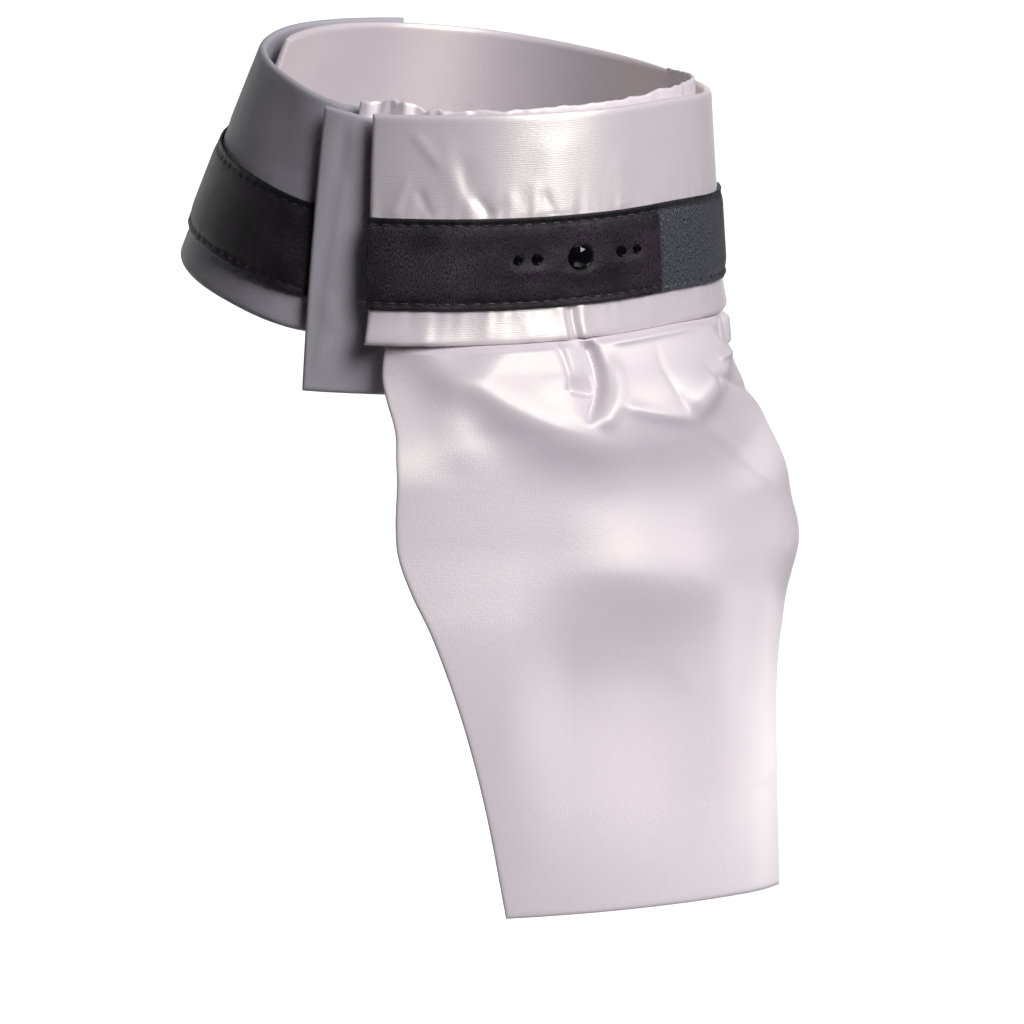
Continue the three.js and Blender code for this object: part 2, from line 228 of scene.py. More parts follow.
# Each fold is a ridge along a bent line: its start, middle and end, as (angle or across, up or
# drop), its rise, its widths to the left and right of someone walking along it on the page, the
# share of its length over which each end fades, and how round its crest is (2 round, 1 sharp).
OVER_FOLDS = [
    [(-56, -25.5), (0, -25.5), (64, -25.5), 0.75, (5, 5), (0.02, 0.02), 2],
    [(-37.8, 22), (-39.5, 11), (-29, 2.6), 0.26, (2.4, 2), (0.3, 0.05), 1.8],
    [(-34, 18), (-34.5, 9), (-27, 2.4), -0.28, (1.6, 2.6), (0.3, 0.05), 1.8],
    [(-31, 8), (-29, 5), (-26.5, 2.6), -0.3, (0.8, 0.9), (0.4, 0.05), 1.7],
    [(-47, 22), (-42, 18), (-38, 12.5), 0.22, (1.2, 1.2), (0.3, 0.3), 2],
    [(-44, 10), (-42.5, 7), (-39.5, 2.6), -0.26, (1, 1), (0.4, 0.05), 2],
    [(-45, 13), (-46.5, 9), (-48, 3), 0.2, (1.1, 1.1), (0.4, 0.05), 2],
    [(-18.5, 12), (-18.4, 8), (-17, 2.6), 0.13, (2, 1.6), (0.4, 0.05), 2],
    [(-17, 9), (-15, 6), (-13.4, 2.6), -0.28, (1, 1.2), (0.4, 0.05), 2],
    [(-25, 9), (-22.5, 6), (-21, 2.6), 0.15, (1.8, 1.6), (0.4, 0.05), 2],
    [(-14.5, 22), (-14, 12), (-13.5, 2.6), 0.3, (4, 5), (0.3, 0.05), 2],
    [(2, 18), (2.6, 10), (3.4, 2.6), 0.2, (2.4, 2.4), (0.4, 0.05), 2],
    [(17, 14), (16.5, 8), (16, 2.6), 0.16, (1.8, 2.4), (0.5, 0.05), 2],
    [(33, 12), (32.5, 8), (32, 2.6), 0.12, (1.8, 2.4), (0.5, 0.05), 2],
    [(-56, -25.5), (-42, -25.5), (-26, -25.5), 2, (5, 5), (0.02, 0.6), 2],
    [(-38.8, -17), (-38.9, -21), (-38.6, -25), 0.2, (1.7, 1.7), (0.05, 0.1), 2],
    [(-28, -17), (-27, -20), (-26, -25), 0.12, (2.4, 2.4), (0.05, 0.3), 2],
    [(-20, -17), (-18.5, -20), (-15.5, -25), 0.2, (2.2, 2.4), (0.05, 0.2), 2],
    [(-10.8, -17), (-10.2, -21), (-9, -26), 0.35, (1.6, 1.2), (0.05, 0.05), 1.8],
    [(-8.7, -17), (-8.4, -21), (-6.8, -26), -0.7, (1, 1), (0.05, 0.05), 1.7],
    [(-6.6, -17), (-6.4, -21), (-4.8, -26), 0.35, (1.2, 1.8), (0.05, 0.05), 1.8],
    [(11.5, -17), (12, -19), (13, -24), 0.3, (1.4, 1.4), (0.05, 0.4), 2],
    [(19, -17), (19.5, -19), (20, -23), 0.2, (1.4, 1.4), (0.05, 0.5), 2],
    [(30, -17), (30.4, -19), (31, -23), 0.22, (1.2, 1.2), (0.05, 0.5), 2],
]
FOLD_PARTS = 48
# Small puckers beside the ribbon's two sewn edges, as (wavelength, phase, height).
PUCKERS = [(2.9, 2.03, 0.035), (4.3, 3.01, 0.05), (7.1, 4.97, 0.06), (11.7, 8.19, 0.05)]
PUCKER_REACH = 3.2
# How the mesh's rows and columns close up over the rounding of an edge, as shares of its rim.
RIM_SHARES = np.array([0, 0.05, 0.18, 0.38, 0.65])


def smooth(t):
    """An S-curve from 0 to 1."""
    c = np.clip(t, 0, 1)
    return c * c * (3 - 2 * c)


def read(table, column, at):
    """A smooth curve through one column of a table, read at a value of its first column."""
    keys = np.array(next(iter(table.values())), float)
    values = np.array(table[column], float)
    slopes = np.diff(values) / np.diff(keys)
    sides = np.concatenate([slopes[:1], slopes, slopes[-1:]])
    tangents = (sides[:-1] + sides[1:]) / 2
    x = np.clip(at, keys[0], keys[-1])
    i = np.clip(np.searchsorted(keys, x, side="right") - 1, 0, len(keys) - 2)
    width = keys[i + 1] - keys[i]
    t = (x - keys[i]) / width
    return (
        (2 * t**3 - 3 * t**2 + 1) * values[i] + (t**3 - 2 * t**2 + t) * width * tangents[i]
        + (3 * t**2 - 2 * t**3) * values[i + 1] + (t**3 - t**2) * width * tangents[i + 1]
    )


def round_collar(angle, height, radius):
    """Points round the leaning collar."""
    a = np.radians(angle)
    return (
        np.multiply.outer(height, COLLAR_AXIS) + np.multiply.outer(radius * np.sin(a), COLLAR_SIDE)
        + np.multiply.outer(radius * np.cos(a), COLLAR_FRONT)
    )


def on_band(table, angle, up, inward):
    """Points of a band, at a height above its middle line and a depth behind its outer face."""
    radius = read(table, "radius", angle) - read(table, "closing", angle) * up - inward
    return round_collar(angle, read(table, "middle", angle) + up, radius)


def fold_rise(folds, x, y):
    """The summed height of a table of folds at points (x, y)."""
    total = np.zeros(np.broadcast(x, y).shape)
    for start, middle, end, rise, widths, fades, roundness in folds:
        t = np.linspace(0, 1, FOLD_PARTS + 1)[:, None]
        line = (1 - t)**2 * np.array(start) + 2 * t * (1 - t) * np.array(middle)
        line = line + t**2 * np.array(end)
        nearest = np.full(total.shape, np.inf)
        share = np.zeros(total.shape)
        side = np.zeros(total.shape)
        for k in range(FOLD_PARTS):
            step = line[k + 1] - line[k]
            from_x, from_y = x - line[k, 0], y - line[k, 1]
            along = np.clip((from_x * step[0] + from_y * step[1]) / (step @ step), 0, 1)
            off_x, off_y = from_x - along * step[0], from_y - along * step[1]
            distance = np.hypot(off_x, off_y)
            closer = distance < nearest
            nearest = np.where(closer, distance, nearest)
            share = np.where(closer, (k + along) / FOLD_PARTS, share)
            side = np.where(closer, step[0] * off_y - step[1] * off_x, side)
        width = np.where(side < 0, widths[0], widths[1])
        fade = smooth(share / fades[0]) * smooth((1 - share) / fades[1])
        total += rise * fade * np.exp(-(nearest / width)**roundness)
    return total


def unit(vectors):
    """Vectors brought to a length of one."""
    return vectors / np.maximum(np.linalg.norm(vectors, axis=-1, keepdims=True), 1e-12)


def grid_normals(points):
    """Outward directions of a grid whose columns run left to right and whose rows run upward."""
    return unit(np.cross(np.gradient(points, axis=1), np.gradient(points, axis=0)))


def raised(table, angle, up, rise):
    """Points of a band's outer face, each stood off by its own height."""
    outer = on_band(table, angle, up, 0)
    return outer + grid_normals(outer) * rise[..., None]


def rim_steps(stops, counts, rim):
    """Even steps between stops, with closer ones over the rounding of the two outer edges."""
    turns = [stops[0] + rim, *stops[1:-1], stops[-1] - rim]
    runs = [np.linspace(a, b, n)[1:] for a, b, n in zip(turns[:-1], turns[1:], counts)]
    return np.concatenate([
        stops[0] + RIM_SHARES * rim, turns[:1], *runs, stops[-1] - RIM_SHARES[::-1] * rim,
    ])


def sloped_grid(columns, rows, start_slope, end_slope):
    """A grid of columns, angles and heights. Its two ends slope by some degrees per mm of height."""
    column, up = np.meshgrid(columns, rows)
    share = (column - columns[0]) / (columns[-1] - columns[0])
    return column, column + (start_slope * (1 - share) + end_slope * share) * up, up


def travelled(points, axis):
    """How far each point of a grid lies along its row (axis 1) or column (axis 0)."""
    lengths = np.linalg.norm(np.diff(points, axis=axis), axis=-1)
    zero = np.zeros_like(np.take(lengths, [0], axis=axis))
    return np.concatenate([zero, np.cumsum(lengths, axis=axis)], axis=axis)


def cloth(name, outer, wall, rim, material, pattern=None):
    """A closed cloth wall behind a grid of outer-face points in mm, with every edge rounded. The UV
    map "cloth" holds distances along the cloth in metres. A pattern given for it is in mm, or in
    degrees, which are about a millimetre long at the collar's face."""
    across = travelled(outer, 1)
    upward = travelled(outer, 0)
    edge = np.minimum.reduce([across, across[:, -1:] - across, upward, upward[-1:] - upward])
    half = wall / 2 * np.sqrt(1 - (1 - np.clip(edge / rim, 0, 1))**2)
    normals = grid_normals(outer)
    middle = outer - normals * wall / 2
    rows, columns = half.shape
    front = (middle + normals * half[..., None]).reshape(-1, 3)
    back = (middle - normals * half[..., None])[1:-1, 1:-1].reshape(-1, 3)
    front_id = np.arange(rows * columns).reshape(rows, columns)
    back_id = front_id.copy()
    inside = np.arange((rows - 2) * (columns - 2)).reshape(rows - 2, columns - 2)
    back_id[1:-1, 1:-1] = rows * columns + inside

    def quads(ids):
        turns = ids[:-1, :-1], ids[:-1, 1:], ids[1:, 1:], ids[1:, :-1]
        return np.stack(turns, axis=-1).reshape(-1, 4)

    faces = np.concatenate([quads(front_id), quads(back_id)[:, ::-1]])
    mesh = bpy.data.meshes.new(name)
    mesh.from_pydata((np.concatenate([front, back]) * MM).tolist(), [], faces.tolist())
    mesh.polygons.foreach_set("use_smooth", [True] * len(faces))
    if pattern is None:
        pattern = (across, upward)
    flat = np.stack([np.broadcast_to(p, half.shape) for p in pattern], axis=-1) * MM
    lengths = np.concatenate([flat.reshape(-1, 2), flat[1:-1, 1:-1].reshape(-1, 2)])
    layer = mesh.uv_layers.new(name="cloth")
    layer.data.foreach_set("uv", lengths[faces.ravel()].ravel())
    mesh.materials.append(material)
    piece = bpy.data.objects.new(name, mesh)
    scene.collection.objects.link(piece)
    return piece


def finish_sheet(piece, slot, node, **facts):
    """Hangs a sheet on the root and hides its part. Its slot and facts are not used."""
    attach(piece, "root")
    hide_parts(node)


def puckers(angle, up):
    """Fine puckers that fade away from the two sewn edges of the ribbon."""
    waves = sum(h * np.sin(2 * np.pi * angle / w + p) for w, p, h in PUCKERS)
    above = np.abs(up - RIBBON_MIDDLE - RIBBON_HALF)
    below = np.abs(up - RIBBON_MIDDLE + RIBBON_HALF)
    return waves * np.exp(-np.minimum(above, below) / PUCKER_REACH)


def linear(code):
    """The linear colour of an sRGB hex code."""
    channels = [int(code[i:i + 2], 16) / 255 for i in (1, 3, 5)]
    return [c / 12.92 if c <= 0.04045 else ((c + 0.055) / 1.055) ** 2.4 for c in channels] + [1]


# Heavy polyester satin, woven with long floats and pressed: bright and smooth, with a soft broad
# gloss, a cool white that goes lilac in shade, and fine weft ribs where the band is pressed flat.
# Floats and ribs are drawn coarser than real ones, so that they show.
BRIGHT_SATIN = ("#f3e8f0", "#ece1ea")
WARM_GLOSS = "#fff8e6"
FLOAT_LENGTH = 1.111
FLOAT_WIDTH = 0.3125
PRESSED_RIB = 0.5
TINT_CLOUD = 16.67


def satin(name, colours, *, floats, rib, index, roughness, stretch, turn):
    """Satin of two close tints, whose floats run "across" or "up" the cloth. The rib is the depth of
    its ribs in mm, and stretch and turn shape its gloss."""
    material, tree = new_material(name)
    cloth_uv = add(tree, "ShaderNodeUVMap", {}, uv_map="cloth")
    grain = (per_metre(FLOAT_LENGTH), per_metre(FLOAT_WIDTH), 1)
    if floats == "up":
        grain = (per_metre(FLOAT_WIDTH), per_metre(FLOAT_LENGTH), 1)
    threads_place = add(tree, "ShaderNodeMapping", {"Vector": cloth_uv.outputs[0], "Scale": grain})
    threads = add(tree, "ShaderNodeTexNoise", {
        "Vector": threads_place.outputs[0], "Scale": 1, "Detail": 2, "Roughness": 0.6,
    })
    # A wave texture's bands lie pi / 10 apart at a scale of one.
    ribs = add(tree, "ShaderNodeTexWave", {
        "Vector": cloth_uv.outputs[0], "Scale": math.pi / 10 * per_metre(PRESSED_RIB),
        "Distortion": 0.6, "Detail": 1, "Detail Scale": 0.4,
    }, wave_type="BANDS", bands_direction="Y")
    object_place = add(tree, "ShaderNodeTexCoord", {})
    cloud = add(tree, "ShaderNodeTexNoise", {
        "Vector": object_place.outputs["Object"], "Scale": per_metre(TINT_CLOUD),
    })
    tint = add(tree, "ShaderNodeMix", {
        0: cloud.outputs[0], 6: linear(colours[0]), 7: linear(colours[1]),
    }, data_type="RGBA")
    rough = add(tree, "ShaderNodeMapRange", {
        "Value": threads.outputs[0], "To Min": roughness - 0.1, "To Max": roughness + 0.1,
    })
    thread_bump = add(tree, "ShaderNodeBump", {
        "Height": threads.outputs[0], "Strength": 0.5, "Distance": 0.09 * MM,
    })
    rib_bump = add(tree, "ShaderNodeBump", {
        "Height": ribs.outputs[1], "Strength": 0.5, "Distance": rib * MM,
        "Normal": thread_bump.outputs[0],
    })
    tangent = add(tree, "ShaderNodeTangent", {}, direction_type="UV_MAP", uv_map="cloth")
    shader = add(tree, "ShaderNodeBsdfPrincipled", {
        "Base Color": tint.outputs[2], "Roughness": rough.outputs[0], "Normal": rib_bump.outputs[0],
        "Tangent": tangent.outputs[0], "Anisotropic": stretch, "Anisotropic Rotation": turn,
        "IOR": index, "Specular IOR Level": 1, "Specular Tint": linear(WARM_GLOSS),
    })
    add(tree, "ShaderNodeOutputMaterial", {"Surface": shader.outputs[0]})
    return material


band_satin = satin(
    "pressed polyester satin", BRIGHT_SATIN,
    floats="across", rib=0.02, index=2.2, roughness=0.4, stretch=0.8, turn=0.25,
)
_, angle_grid, up_grid = sloped_grid(
    rim_steps((OVER_START, OVER_FRONT_END, OVER_END), OVER_COLUMNS, BAND_RIM),
    rim_steps((-BAND_HALF, BAND_HALF), OVER_ROWS, BAND_RIM), OVER_START_SLANT, 0,
)
over_rise = fold_rise(OVER_FOLDS, angle_grid, up_grid) + puckers(angle_grid, up_grid)
over_band = cloth(
    "over_band_sewn", raised(OVER_BAND, angle_grid, up_grid, over_rise), BAND_WALL, BAND_RIM,
    band_satin, (angle_grid, up_grid),
)
finish_sheet(
    over_band, "white_satin", "over_band", flat=(0.272, 0.05), held="folded",
    rests_on=["lining_cloth"],
)

# The under band is the inner length, of half-matt cloth with a close diagonal twill. It shows on the
# wearer's right, laps over the other end at the back, and runs on, hidden, behind the front.
UNDER_BAND = {
    "angle": [-190, -165, -140, -110, -90, -70, -62, -54, -44, -25],
    "radius": [55.4, 55.4, 55.6, 57.3, 57.4, 56.2, 53.6, 52.3, 51.7, 52.1],
    "closing": [0.25, 0.28, 0.3, 0.29, 0.26, 0.2, 0.17, 0.155, 0.145, 0.12],
    "middle": [2, 2.6, 3.2, 2.4, 0.9, -1.5, -2, -2.2, -2.3, -2.4],
}
UNDER_START = -190
UNDER_END = -25
UNDER_COLUMNS = (165,)
UNDER_ROWS = (50,)
UNDER_PUCKER = 0.6
UNDER_FOLDS = [
    [(-104, 25), (-98, 12), (-92, 4), 0.25, (7, 7), (0.3, 0.3), 2],
    [(-84, 25), (-83, 10), (-80, 3), -0.2, (5, 5), (0.3, 0.3), 2],
    [(-150, 20), (-148, 5), (-152, -20), 0.3, (9, 9), (0.3, 0.3), 2],
    [(-128, 25), (-126, 8), (-122, 2.6), 0.25, (6, 6), (0.3, 0.3), 2],
]

# Half-matt polyester cloth in a close twill: fine slanting ribs and a low, even sheen. The ribs are
# drawn coarser than real ones, so that they show. Its two tints are painted a darker lilac grey than
# the cloth's own, as painted shade over the under band and the side flap.
TWILL_RIB = 0.55
TWILL_SLUB = 0.4545
TWILL_TURN = math.radians(52)
lapped_cloth, tree = new_material("close polyester twill")
cloth_uv = add(tree, "ShaderNodeUVMap", {}, uv_map="cloth")
turned = add(tree, "ShaderNodeMapping", {
    "Vector": cloth_uv.outputs[0], "Rotation": (0, 0, TWILL_TURN),
})
twill = add(tree, "ShaderNodeTexWave", {
    "Vector": turned.outputs[0], "Scale": math.pi / 10 * per_metre(TWILL_RIB),
    "Distortion": 1.2, "Detail": 2, "Detail Scale": 1,
}, wave_type="BANDS", bands_direction="X")
slub = add(tree, "ShaderNodeTexNoise", {
    "Vector": turned.outputs[0], "Scale": per_metre(TWILL_SLUB), "Detail": 2,
})
height = add(tree, "ShaderNodeMath", {0: twill.outputs[1], 1: slub.outputs[0]}, operation="ADD")
# Painted shade: both tints are darker than the cloth, for the shade it lies in.
tint = add(tree, "ShaderNodeMix", {
    0: twill.outputs[1], 6: linear("#ada9b4"), 7: linear("#b9b5bf"),
}, data_type="RGBA")
rough = add(tree, "ShaderNodeMapRange", {"Value": slub.outputs[0], "To Min": 0.5, "To Max": 0.62})
bump = add(tree, "ShaderNodeBump", {
    "Height": height.outputs[0], "Strength": 0.5, "Distance": 0.08 * MM,
})
shader = add(tree, "ShaderNodeBsdfPrincipled", {
    "Base Color": tint.outputs[2], "Roughness": rough.outputs[0], "Normal": bump.outputs[0],
    "IOR": 1.5, "Sheen Weight": 0.08, "Sheen Roughness": 0.4,
})
add(tree, "ShaderNodeOutputMaterial", {"Surface": shader.outputs[0]})

angle_grid, up_grid = np.meshgrid(
    rim_steps((UNDER_START, UNDER_END), UNDER_COLUMNS, BAND_RIM),
    rim_steps((-BAND_HALF, BAND_HALF), UNDER_ROWS, BAND_RIM),
)
under_rise = fold_rise(UNDER_FOLDS, angle_grid, up_grid)
under_rise = under_rise + UNDER_PUCKER * puckers(angle_grid, up_grid)
under_band = cloth(
    "under_band_sewn", raised(UNDER_BAND, angle_grid, up_grid, under_rise), BAND_WALL, BAND_RIM,
    lapped_cloth, (angle_grid, up_grid),
)
finish_sheet(
    under_band, "lapped_cloth", "under_band", flat=(0.158, 0.05), held="folded",
    rests_on=["over_band"],
)

# The ribbon is black satin, sewn flat round each length with a row of stitches inside each edge, so
# that its middle stands up as a soft pad between two grooves. The stones' fixings pinch it. On the
# under band it ends beneath the side flap's slope.
RIBBON_WALL = 0.7
RIBBON_RIM = 0.5
RIBBON_ROWS = (46,)
RIBBON_EDGE_LIFT = 0.95
RIBBON_PAD_LIFT = 1.2
RIBBON_PAD_INSET = 1.2
RIBBON_PAD_BLEND = 3
RIBBON_GROOVE = 1.5
RIBBON_GROOVE_DEPTH = 0.42
RIBBON_GROOVE_WIDTH = 0.5
STITCH_PITCH = 3.2
STITCH_LENGTH = 2.3
STITCH_WIDTH = 0.34
STITCH_UNEVENNESS = 0.2
STITCH_PULL = 0.6
THREAD_PROUD = 0.06
# A seam line is read in steps along it, and at a margin on each side, which gives the face's slope.
SEAM_STEP = 0.5
SEAM_MARGIN = 0.2
SEAM_INSET = 1
SEAM_FREE_INSET = 1.2
OVER_RIBBON_END = 167
OVER_RIBBON_COLUMNS = (380,)
UNDER_RIBBON_START = -189
UNDER_RIBBON_END = -66.6
UNDER_RIBBON_COLUMNS = (190,)
FLAP_START_SLANT = -0.105
# The middle of the row of stones.
ORNAMENT_ANGLE = -7.3
ORNAMENT_UP = -6.4
PINCH_DEPTH = 0.16
PINCH_REACH = 0.75
# The stones, as (name, angle from the ornament's middle, diameter, height, facets).
STONES = [
    ("stone_small_right", -13.6, 2.2, 1.1, 6),
    ("stone_medium_right", -9.6, 2.7, 1.3, 6),
    ("stone_centre", 0, 6, 2.4, 8),
    ("stone_medium_left", 9.8, 2.7, 1.3, 6),
    ("stone_small_left", 14, 2.2, 1.1, 6),
]
RIBBON_FOLDS = [
    [(-52, -13), (-40, -14), (-30, -12), 0.2, (3, 3), (0.3, 0.3), 2],
    [(-47, -3), (-38, -5), (-27, -4), -0.2, (3, 2.4), (0.3, 0.3), 2],
    [(-16, -14), (0, -13.4), (14, -12.6), -0.26, (2, 2), (0.3, 0.3), 2],
    [(22, -11), (30, -9), (44, -10), 0.2, (3, 3), (0.3, 0.3), 2],
    [(-24, -8.2), (-8, -10.4), (10, -8.0), 0.28, (1.6, 3.0), (0.3, 0.3), 2],
    [(-30, -10), (-26, -12), (-20, -16), -0.22, (3, 3), (0.4, 0.3), 2],
    [(-12, 1), (-13, -3), (-14, -5.5), -0.2, (2, 2.4), (0.2, 0.3), 2],
    [(14, 1), (14.5, -2), (12, -5), -0.16, (2.2, 2.2), (0.2, 0.3), 2],
    [(-24, -8.4), (-18.5, -10.2), (-13.5, -8.4), 0.35, (1.4, 1.2), (0.3, 0.3), 2],
    [(-11.6, -8.8), (-7.3, -13), (-3, -8.8), 0.5, (1.5, 1.2), (0.25, 0.25), 2],
    [(0, -8.2), (5, -10), (10, -8), 0.35, (1.4, 1.2), (0.3, 0.3), 2],
]


def ribbon_lift(angle, up):
    """How far the ribbon's outer face stands off the band: an edge, a stitched groove and a pad."""
    from_edge = RIBBON_HALF - np.abs(up - RIBBON_MIDDLE)
    pad = smooth((from_edge - RIBBON_PAD_INSET) / RIBBON_PAD_BLEND)
    lift = RIBBON_EDGE_LIFT + (RIBBON_PAD_LIFT - RIBBON_EDGE_LIFT) * pad
    pull = STITCH_PULL + (1 - STITCH_PULL) * np.cos(2 * np.pi * angle / STITCH_PITCH)
    groove = np.exp(-((from_edge - RIBBON_GROOVE) / RIBBON_GROOVE_WIDTH)**2)
    return lift - RIBBON_GROOVE_DEPTH * pull * groove


def stone_pinch(angle, up):
    """The dimple that each stone's fixing pulls into the ribbon."""
    pinch = 0
    for _, turn, diameter, _, _ in STONES:
        away = np.hypot(angle - ORNAMENT_ANGLE - turn, up - ORNAMENT_UP)
        dimple = np.exp(-(away / (diameter * PINCH_REACH))**2)
        pinch = pinch - PINCH_DEPTH * diameter**0.5 * dimple
    return pinch


def over_ribbon_rise(angle, up):
    """How far the over ribbon's outer face stands off its band."""
    rise = ribbon_lift(angle, up) + stone_pinch(angle, up) + fold_rise(RIBBON_FOLDS, angle, up)
    return rise + puckers(angle, up)


def under_ribbon_rise(angle, up):
    """How far the under ribbon's outer face stands off its band."""
    return ribbon_lift(angle, up) + UNDER_PUCKER * puckers(angle, up)


# Black polyester ribbon in satin weave: near black, with a soft grey gloss that the padding catches
# and a speckle of broken floats, drawn coarser than real ones, so that it shows. Its upper edge is
# painted darker, as painted shade, and on the wearer's left of the stones a length is painted paler
# and bluer, as a painted sheen.
SPECK_ALONG = 0.3333
SPECK_UP = 0.5882
BRUSHED_PATCH = 9.09
SHEEN_PATCH_START = (12.8, 13.8)
SHEEN_PATCH_END = (34, 60)
PAINTED_EDGE_SHADE = (0.6, 1.4)
ribbon_satin, tree = new_material("black satin ribbon")
cloth_uv = add(tree, "ShaderNodeUVMap", {}, uv_map="cloth")
speck_place = add(tree, "ShaderNodeMapping", {
    "Vector": cloth_uv.outputs[0], "Scale": (per_metre(SPECK_ALONG), per_metre(SPECK_UP), 1),
})
speck = add(tree, "ShaderNodeTexNoise", {
    "Vector": speck_place.outputs[0], "Scale": 1, "Detail": 3, "Roughness": 0.7,
})
grain = add(tree, "ShaderNodeMapRange", {
    "Value": speck.outputs[0], "From Min": 0.4, "From Max": 0.68,
})
object_place = add(tree, "ShaderNodeTexCoord", {})
nap = add(tree, "ShaderNodeTexNoise", {
    "Vector": object_place.outputs["Object"], "Scale": per_metre(BRUSHED_PATCH), "Detail": 3,
})
brushed = add(tree, "ShaderNodeMapRange", {
    "Value": nap.outputs[0], "From Min": 0.35, "From Max": 0.65, "To Min": 0.3, "To Max": 1,
})
shown = add(tree, "ShaderNodeMath", {
    0: grain.outputs[0], 1: brushed.outputs[0],
}, operation="MULTIPLY")
dark = add(tree, "ShaderNodeMix", {
    0: shown.outputs[0], 6: linear("#080509"), 7: linear("#4c3f4e"),
}, data_type="RGBA")
# Painted sheen: a length on the wearer's left of the stones takes this paler, bluer tint.
pale = add(tree, "ShaderNodeMix", {
    0: grain.outputs[0], 6: linear("#131319"), 7: linear("#707180"),
}, data_type="RGBA")
along_and_up = add(tree, "ShaderNodeSeparateXYZ", {"Vector": cloth_uv.outputs[0]})
# Where the painted sheen begins and ends along the ribbon.
pressed = add(tree, "ShaderNodeMapRange", {
    "Value": along_and_up.outputs[0],
    "From Min": SHEEN_PATCH_START[0] * MM, "From Max": SHEEN_PATCH_START[1] * MM,
})
faded = add(tree, "ShaderNodeMapRange", {
    "Value": along_and_up.outputs[0],
    "From Min": SHEEN_PATCH_END[0] * MM, "From Max": SHEEN_PATCH_END[1] * MM, "To Min": 1, "To Max": 0,
})
painted_sheen = add(tree, "ShaderNodeMath", {
    0: pressed.outputs[0], 1: faded.outputs[0],
}, operation="MULTIPLY")
# Painted shade: the ribbon is painted darker along its upper edge.
rolled = add(tree, "ShaderNodeMapRange", {
    "Value": along_and_up.outputs[1],
    "From Min": PAINTED_EDGE_SHADE[0] * MM, "From Max": PAINTED_EDGE_SHADE[1] * MM, "To Max": 0.75,
})
body = add(tree, "ShaderNodeMix", {
    0: painted_sheen.outputs[0], 6: dark.outputs[2], 7: pale.outputs[2],
}, data_type="RGBA")
tint = add(tree, "ShaderNodeMix", {
    0: rolled.outputs[0], 6: body.outputs[2], 7: linear("#050406"),
}, data_type="RGBA")
rough = add(tree, "ShaderNodeMapRange", {
    "Value": grain.outputs[0], "To Min": 0.38, "To Max": 0.62,
})
bump = add(tree, "ShaderNodeBump", {
    "Height": grain.outputs[0], "Strength": 0.8, "Distance": 0.1 * MM,
})
shader = add(tree, "ShaderNodeBsdfPrincipled", {
    "Base Color": tint.outputs[2], "Roughness": rough.outputs[0], "Normal": bump.outputs[0],
    "IOR": 1.5, "Specular IOR Level": 0.36, "Sheen Weight": 0.08, "Sheen Roughness": 0.4,
})
add(tree, "ShaderNodeOutputMaterial", {"Surface": shader.outputs[0]})

ribbon_rows = rim_steps(
    (RIBBON_MIDDLE - RIBBON_HALF, RIBBON_MIDDLE + RIBBON_HALF), RIBBON_ROWS, RIBBON_RIM,
)
column_grid, angle_grid, up_grid = sloped_grid(
    rim_steps((OVER_START, OVER_RIBBON_END), OVER_RIBBON_COLUMNS, RIBBON_RIM), ribbon_rows,
    OVER_START_SLANT, 0,
)
over_ribbon = cloth(
    "over_ribbon_sewn",
    raised(OVER_BAND, angle_grid, up_grid, over_ribbon_rise(angle_grid, up_grid)),
    RIBBON_WALL, RIBBON_RIM, ribbon_satin, (column_grid, up_grid),
)
column_grid, angle_grid, up_grid = sloped_grid(
    rim_steps((UNDER_RIBBON_START, UNDER_RIBBON_END), UNDER_RIBBON_COLUMNS, RIBBON_RIM), ribbon_rows,
    0, FLAP_START_SLANT,
)
under_ribbon = cloth(
    "under_ribbon_sewn",
    raised(UNDER_BAND, angle_grid, up_grid, under_ribbon_rise(angle_grid, up_grid)),
    RIBBON_WALL, RIBBON_RIM, ribbon_satin, (column_grid, up_grid),
)

# Spun polyester sewing thread, black and slightly glossy, so that each stitch shows as a grey dash.
THREAD_PLY = 0.25
thread, tree = new_material("black sewing thread")
object_place = add(tree, "ShaderNodeTexCoord", {})
ply = add(tree, "ShaderNodeTexNoise", {
    "Vector": object_place.outputs["Object"], "Scale": per_metre(THREAD_PLY),
})
tint = add(tree, "ShaderNodeMix", {
    0: ply.outputs[0], 6: linear("#2b292e"), 7: linear("#5a575e"),
}, data_type="RGBA")
bump = add(tree, "ShaderNodeBump", {
    "Height": ply.outputs[0], "Strength": 0.5, "Distance": 0.05 * MM,
})
shader = add(tree, "ShaderNodeBsdfPrincipled", {
    "Base Color": tint.outputs[2], "Normal": bump.outputs[0], "Roughness": 0.45, "IOR": 1.5,
})
add(tree, "ShaderNodeOutputMaterial", {"Surface": shader.outputs[0]})

# The running stitch: a thread dash at every pitch along a seam line, each turned along the seam.
stitch_tree = bpy.data.node_groups.new("running_stitch", "GeometryNodeTree")
for name, kind, direction in (
    ("Seam", "NodeSocketGeometry", "INPUT"), ("Pitch", "NodeSocketFloat", "INPUT"),
    ("Stitch Length", "NodeSocketFloat", "INPUT"), ("Thread Width", "NodeSocketFloat", "INPUT"),
    ("Unevenness", "NodeSocketFloat", "INPUT"), ("Stitches", "NodeSocketGeometry", "OUTPUT"),
):
    stitch_tree.interface.new_socket(name=name, in_out=direction, socket_type=kind)
given = add(stitch_tree, "NodeGroupInput", {})
seam = add(stitch_tree, "GeometryNodeMeshToCurve", {"Mesh": given.outputs["Seam"]})
marks = add(stitch_tree, "GeometryNodeResampleCurve", {
    "Curve": seam.outputs[0], "Length": given.outputs["Pitch"],
}, mode="LENGTH")
heading = add(stitch_tree, "GeometryNodeInputTangent", {})
facing = add(stitch_tree, "FunctionNodeAlignRotationToVector", {
    "Vector": heading.outputs[0],
}, axis="X")
dash = add(stitch_tree, "GeometryNodeMeshIcoSphere", {"Radius": 0.5, "Subdivisions": 2})
